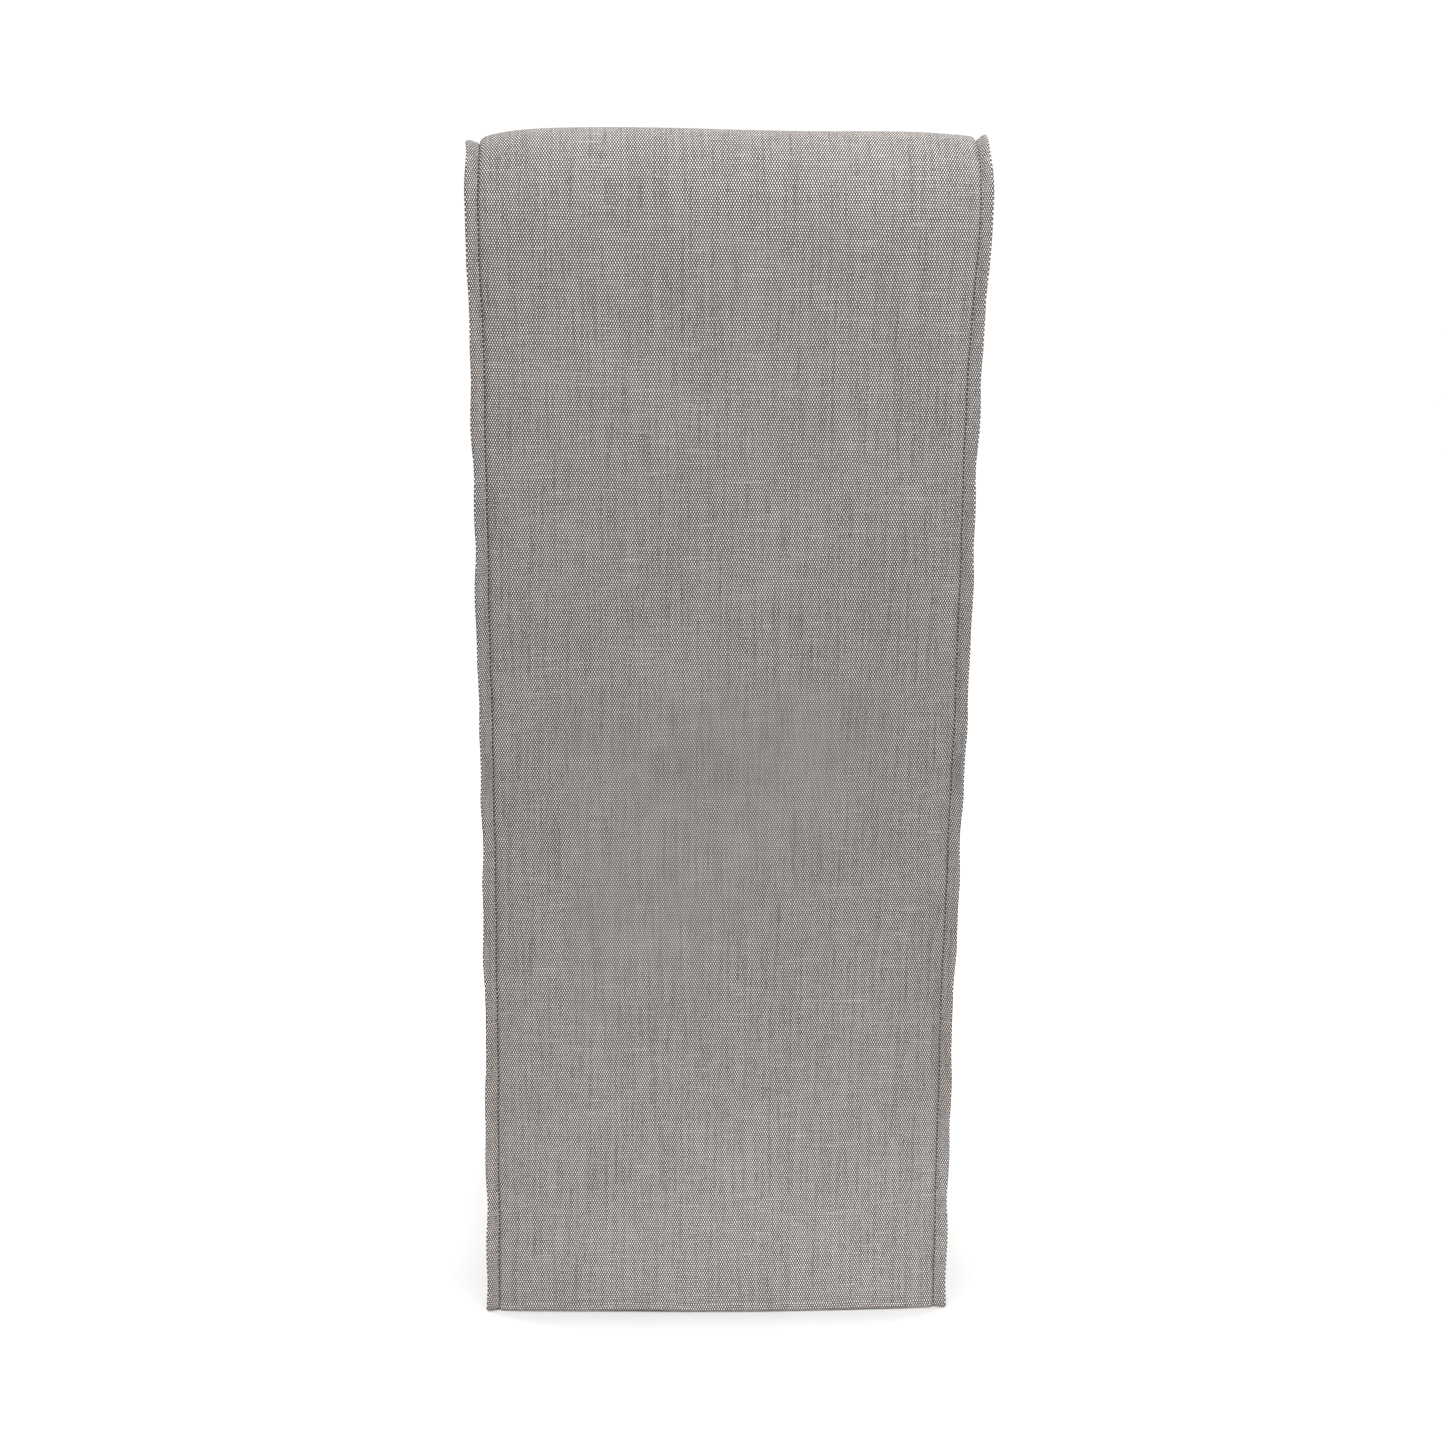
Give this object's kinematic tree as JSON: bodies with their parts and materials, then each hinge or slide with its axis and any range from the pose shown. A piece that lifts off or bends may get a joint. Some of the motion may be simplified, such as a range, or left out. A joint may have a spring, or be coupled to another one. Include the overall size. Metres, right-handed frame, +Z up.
{
  "type": "slipcovered dining chair",
  "caption": "High-backed dining chair: a hardwood frame in a loose grey fabric cover, with a raked padded back, flanged seams and a skirt that falls straight to the floor.",
  "frame": {"origin": "on the floor, in the middle of the chair's footprint", "axes": "+Z up, +Y the way the sitter faces, +X to the right for someone behind the chair; the outside back faces -Y"},
  "size_m": [0.432, 0.597, 1.08],
  "materials": {
    "frame_wood": "sanded, unfinished kiln-dried hardwood",
    "dowel_wood": "fluted beech dowel",
    "screw_steel": "zinc-plated",
    "glide_nylon": "moulded nylon on a steel nail",
    "webbing": "woven jute and rubber webbing",
    "foam": "open-cell polyurethane foam",
    "batting": "polyester fibre batting",
    "muslin": "unbleached muslin",
    "cambric": "non-woven dust cover",
    "cover_linen": "warm grey slubbed plain weave, matt"
  },
  "bodies": {
    "root": {"rear_post_left": "frame_wood", "rear_post_right": "frame_wood", "front_leg_left": "frame_wood", "front_leg_right": "frame_wood", "seat_rail_front": "frame_wood", "seat_rail_rear": "frame_wood", "seat_rail_left": "frame_wood", "seat_rail_right": "frame_wood", "back_rail_top": "frame_wood", "back_rail_middle": "frame_wood", "back_rail_lower": "frame_wood", "corner_block_front_left": "frame_wood", "corner_block_front_right": "frame_wood", "corner_block_rear_left": "frame_wood", "corner_block_rear_right": "frame_wood", "frame_dowels": "dowel_wood", "corner_block_screws": "screw_steel", "glides": "glide_nylon", "seat_webbing_lengthwise": "webbing", "seat_webbing_crosswise": "webbing", "back_webbing": "webbing", "seat_foam": "foam", "back_foam": "foam", "back_rear_padding": "batting", "back_crest_padding": "batting", "side_batting_left": "batting", "side_batting_right": "batting", "seat_undercover": "muslin", "back_undercover": "muslin", "dust_cover": "cambric", "outside_back_panel": "cover_linen", "inside_back_panel": "cover_linen", "back_side_panel_left": "cover_linen", "back_side_panel_right": "cover_linen", "seat_panel": "cover_linen", "skirt_front": "cover_linen", "skirt_left": "cover_linen", "skirt_right": "cover_linen", "back_flange_left": "cover_linen", "back_flange_right": "cover_linen", "seat_flange_left": "cover_linen", "seat_flange_front": "cover_linen", "seat_flange_right": "cover_linen", "corner_flange_left": "cover_linen", "corner_flange_right": "cover_linen"}
  },
  "joints": []
}
